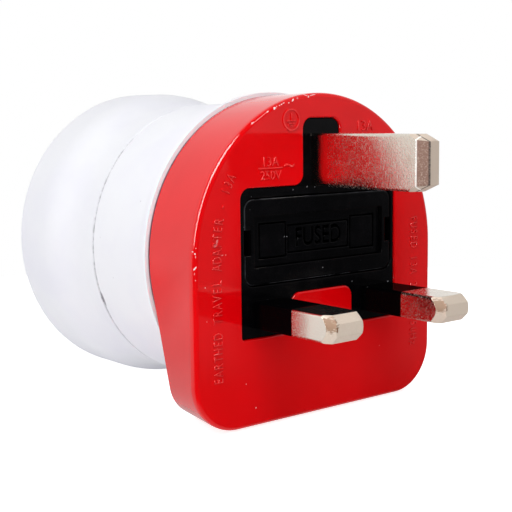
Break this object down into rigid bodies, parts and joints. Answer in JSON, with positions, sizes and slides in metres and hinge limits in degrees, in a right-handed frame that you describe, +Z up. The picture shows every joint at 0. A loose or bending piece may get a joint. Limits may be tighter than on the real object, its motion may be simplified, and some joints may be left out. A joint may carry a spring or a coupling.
{
  "type": "travel adapter",
  "caption": "Travel adapter with a British fused plug on a red base and a round earthed recessed socket in a white body, with a pull-out fuse carrier and a sprung shutter.",
  "frame": {"origin": "on the red plug face, on the axis of the round body", "axes": "+X to the right when the pins are faced, +Y from the plug face into the body, +Z up to the earth pin"},
  "size_m": [0.0502, 0.0731, 0.0502],
  "materials": {
    "red_plastic": "glossy, chipped along its front edge",
    "black_plastic": "glossy with dust",
    "white_plastic": "satin",
    "ivory_plastic": "matte",
    "grey_plastic": "matte",
    "brown_sheet": "matte pressed sheet",
    "fuse_ceramic": "unglazed ceramic",
    "plated_brass": "nickel plated, fine grained",
    "bare_brass": "bare strip",
    "spring_steel": "zinc plated"
  },
  "bodies": {
    "housing": {"base_cover": "red_plastic", "pin_block": "black_plastic", "earth_pin": "plated_brass", "live_pin": "plated_brass", "neutral_pin": "plated_brass", "live_sleeve": "black_plastic", "neutral_sleeve": "black_plastic", "body_shell": "white_plastic", "socket_cap": "white_plastic", "live_link": "bare_brass", "live_contact": "bare_brass", "neutral_contact": "bare_brass", "earth_strap": "plated_brass", "pin_rivets": "bare_brass", "insulator_plate": "brown_sheet", "contact_carrier": "ivory_plastic", "shutter_spring": "spring_steel", "centre_screw": "spring_steel"},
    "fuse_holder": {"fuse_carrier": "black_plastic", "fuse_tube": "fuse_ceramic", "fuse_caps": "plated_brass"},
    "shutter_slide": {"shutter": "grey_plastic"}
  },
  "joints": [
    {"name": "fuse_pull", "type": "slide", "parent": "housing", "child": "fuse_holder", "axis": [0, -1, 0], "range_m": [0, 0.036]},
    {"name": "shutter_lift", "type": "slide", "parent": "housing", "child": "shutter_slide", "axis": [0, 0, 1], "range_m": [0, 0.006], "stiffness_N_per_m": 60, "springref_m": -0.008, "deforming": ["shutter_spring"]}
  ]
}
